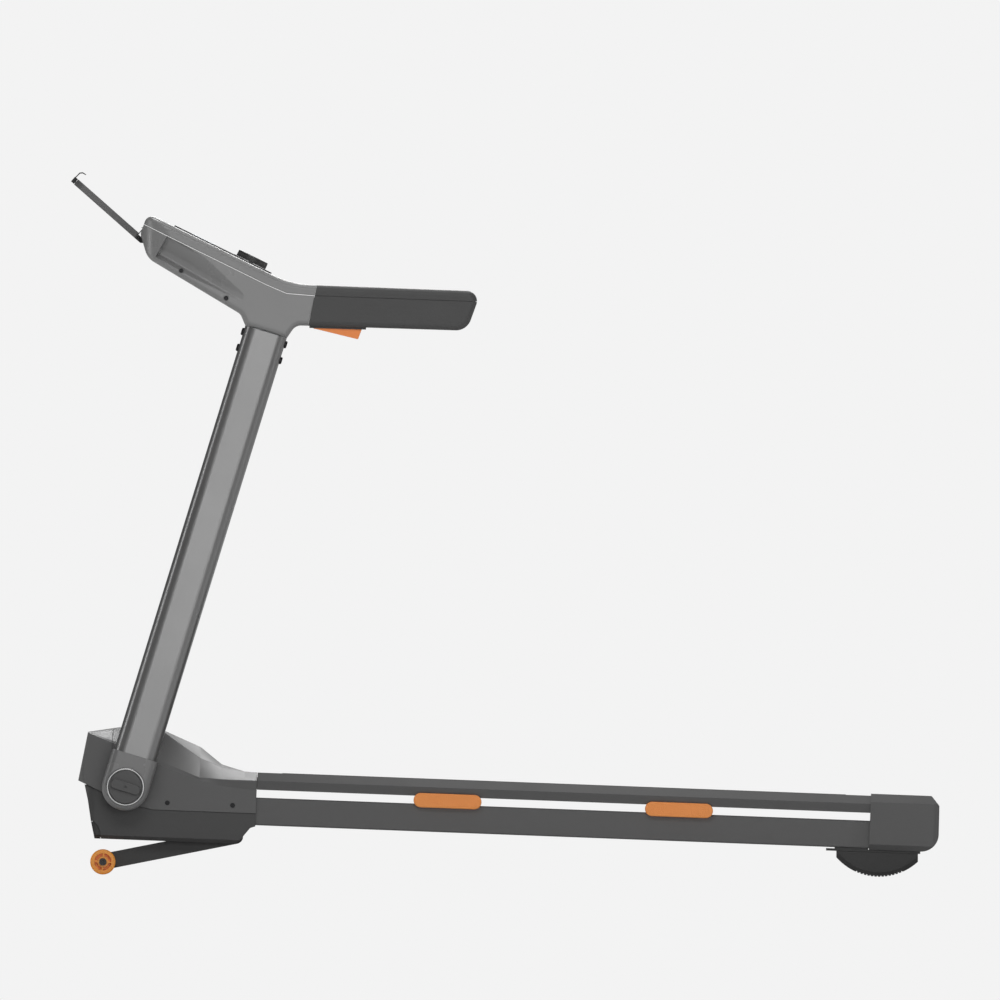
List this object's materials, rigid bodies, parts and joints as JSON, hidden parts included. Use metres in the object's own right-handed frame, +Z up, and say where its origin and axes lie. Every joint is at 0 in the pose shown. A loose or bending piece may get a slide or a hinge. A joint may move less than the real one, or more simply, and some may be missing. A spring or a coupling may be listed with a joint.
{
  "type": "treadmill",
  "caption": "Folding home treadmill with hooded drive, cushioned deck, tilting posts, handled dashboard, tablet rest and powered incline wheels.",
  "frame": {"origin": "middle of the bounding box at floor level", "axes": "+X to the rear where the runner steps on, +Y to the runner's right, +Z up"},
  "size_m": [1.4446, 0.713, 1.1656],
  "materials": {
    "frame_paint": "powder-coated steel, fine texture",
    "deck_board": "fibreboard",
    "running_belt": "diamond-textured belt",
    "roller_steel": "turned",
    "bare_steel": "turned",
    "rail_plastic": "moulded, fine grain",
    "tread_rubber": "ribbed",
    "orange_elastomer": "textured elastomer",
    "black_rubber": "matt",
    "hood_plastic": "moulded, fine grain",
    "black_steel": "black oxide",
    "belly_plastic": "moulded, fine grain",
    "black_plastic": "moulded",
    "switch_plastic": "moulded",
    "zinc_steel": "zinc plated",
    "motor_paint": "painted",
    "circuit_board": "solder mask",
    "arm_paint": "powder-coated steel",
    "orange_wheel": "moulded",
    "post_paint": "powder-coated, satin",
    "boot_plastic": "satin",
    "bright_ring": "polished",
    "knob_plastic": "satin",
    "dash_plastic": "satin, moulded",
    "grip_rubber": "soft touch",
    "display_glass": "glossy overlay",
    "orange_plastic": "satin",
    "holder_plastic": "satin"
  },
  "bodies": {
    "frame": {"control_board": "circuit_board", "cover_screws": "black_steel", "cross_tubes": "frame_paint", "deck_board": "deck_board", "deck_cushions": "orange_elastomer", "drive_belt": "black_rubber", "drive_motor": "motor_paint", "end_cap_left": "rail_plastic", "end_cap_right": "rail_plastic", "foot_rail_left": "rail_plastic", "foot_rail_right": "rail_plastic", "foot_soles": "black_rubber", "front_bumper": "black_plastic", "incline_actuator": "motor_paint", "lower_cover": "belly_plastic", "mast_brackets": "zinc_steel", "motor_hood": "hood_plastic", "motor_plate": "zinc_steel", "power_inlet": "black_plastic", "power_panel": "black_plastic", "rail_treads": "tread_rubber", "rear_feet": "black_plastic", "roller_axles": "bare_steel", "running_belt": "running_belt", "side_cover_left": "hood_plastic", "side_cover_right": "hood_plastic", "side_tubes": "frame_paint"},
    "mast": {"post_right": "post_paint", "post_left": "post_paint", "post_boots": "boot_plastic", "knob_rings": "bright_ring", "console_bolts": "black_steel", "console_upper": "dash_plastic", "console_lower": "dash_plastic", "grip_right": "grip_rubber", "grip_left": "grip_rubber", "handle_tubes": "zinc_steel", "dash_screws": "black_steel", "display_panel": "display_glass", "console_board": "circuit_board", "paddle_bases": "black_plastic", "holder_hinge": "black_steel"},
    "incline_frame": {"incline_arm_right": "arm_paint", "incline_arm_left": "arm_paint", "incline_pivot_tube": "arm_paint"},
    "lock_knob_right": {"lock_knob_right": "knob_plastic"},
    "lock_knob_left": {"lock_knob_left": "knob_plastic"},
    "speed_dial": {"speed_dial": "knob_plastic"},
    "paddle_right": {"paddle_right": "orange_plastic"},
    "paddle_left": {"paddle_left": "orange_plastic"},
    "tablet_holder": {"tablet_holder": "holder_plastic"},
    "holder_hook": {"holder_hook": "black_plastic"},
    "wheel_right": {"wheel_right": "orange_wheel"},
    "wheel_left": {"wheel_left": "orange_wheel"},
    "front_roller": {"front_roller": "roller_steel"},
    "rear_roller": {"rear_roller": "roller_steel"},
    "motor_rotor": {"motor_rotor": "bare_steel"},
    "incline_screw": {"incline_screw": "bare_steel"},
    "power_rocker": {"power_rocker": "switch_plastic"},
    "breaker_button": {"breaker_button": "switch_plastic"}
  },
  "joints": [
    {"name": "mast_fold", "type": "hinge", "parent": "frame", "child": "mast", "pos_m": [-0.62899, 0, 0.1453], "axis": [0, 1, 0], "range_deg": [0, 60]},
    {"name": "lock_knob_right_turn", "type": "hinge", "parent": "mast", "child": "lock_knob_right", "pos_m": [-0.62899, 0, 0.1453], "axis": [0, 1, 0], "range_deg": [0, 90]},
    {"name": "lock_knob_left_turn", "type": "hinge", "parent": "mast", "child": "lock_knob_left", "pos_m": [-0.62899, 0, 0.1453], "axis": [0, -1, 0], "range_deg": [0, 90]},
    {"name": "dial_turn", "type": "hinge", "parent": "mast", "child": "speed_dial", "pos_m": [-0.42469, 0, 1.01442], "axis": [0.439, 0, 0.8985], "continuous": true},
    {"name": "paddle_right_press", "type": "hinge", "parent": "mast", "child": "paddle_right", "pos_m": [-0.31734, 0.326, 0.90875], "axis": [0, -1, 0], "range_deg": [0, 4], "stiffness_Nm_per_rad": 1, "springref_deg": -4.58},
    {"name": "paddle_left_press", "type": "hinge", "parent": "mast", "child": "paddle_left", "pos_m": [-0.31734, -0.326, 0.90875], "axis": [0, -1, 0], "range_deg": [0, 4], "stiffness_Nm_per_rad": 1, "springref_deg": -4.58},
    {"name": "holder_tilt", "type": "hinge", "parent": "mast", "child": "tablet_holder", "pos_m": [-0.60485, 0, 1.05391], "axis": [0, 1, 0], "range_deg": [-25, 0]},
    {"name": "hook_slide", "type": "slide", "parent": "tablet_holder", "child": "holder_hook", "axis": [-0.7513, 0, 0.66], "range_m": [0, 0.04]},
    {"name": "incline_lift", "type": "hinge", "parent": "frame", "child": "incline_frame", "pos_m": [-0.44715, 0, 0.06624], "axis": [0, -1, 0], "range_deg": [0, 25]},
    {"name": "screw_slide", "type": "slide", "parent": "frame", "child": "incline_screw", "axis": [-0.0349, 0, -0.9994], "range_m": [-0.0002, 0.03991]},
    {"name": "wheel_right_spin", "type": "hinge", "parent": "incline_frame", "child": "wheel_right", "pos_m": [-0.66606, 0, 0.021], "axis": [0, 1, 0], "continuous": true},
    {"name": "wheel_left_spin", "type": "hinge", "parent": "incline_frame", "child": "wheel_left", "pos_m": [-0.66606, 0, 0.021], "axis": [0, 1, 0], "continuous": true},
    {"name": "front_roller_spin", "type": "hinge", "parent": "frame", "child": "front_roller", "pos_m": [-0.47258, 0, 0.1402], "axis": [0, 1, 0], "continuous": true},
    {"name": "rear_roller_spin", "type": "hinge", "parent": "frame", "child": "rear_roller", "pos_m": [0.67472, 0, 0.10013], "axis": [0, 1, 0], "continuous": true},
    {"name": "motor_spin", "type": "hinge", "parent": "frame", "child": "motor_rotor", "pos_m": [-0.58771, 0, 0.13869], "axis": [0, 1, 0], "continuous": true},
    {"name": "switch_rock", "type": "hinge", "parent": "frame", "child": "power_rocker", "pos_m": [-0.68332, -0.122, 0.11702], "axis": [0, -1, 0], "range_deg": [0, 14]},
    {"name": "breaker_trip", "type": "slide", "parent": "frame", "child": "breaker_button", "axis": [-0.9816, 0, -0.1908], "range_m": [0, 0.004]}
  ],
  "couplings": [
    {"joint": "screw_slide", "follows": "incline_lift", "m_per_rad": 0.091},
    {"joint": "rear_roller_spin", "follows": "front_roller_spin", "ratio": 1},
    {"joint": "motor_spin", "follows": "front_roller_spin", "ratio": 2.1382}
  ]
}
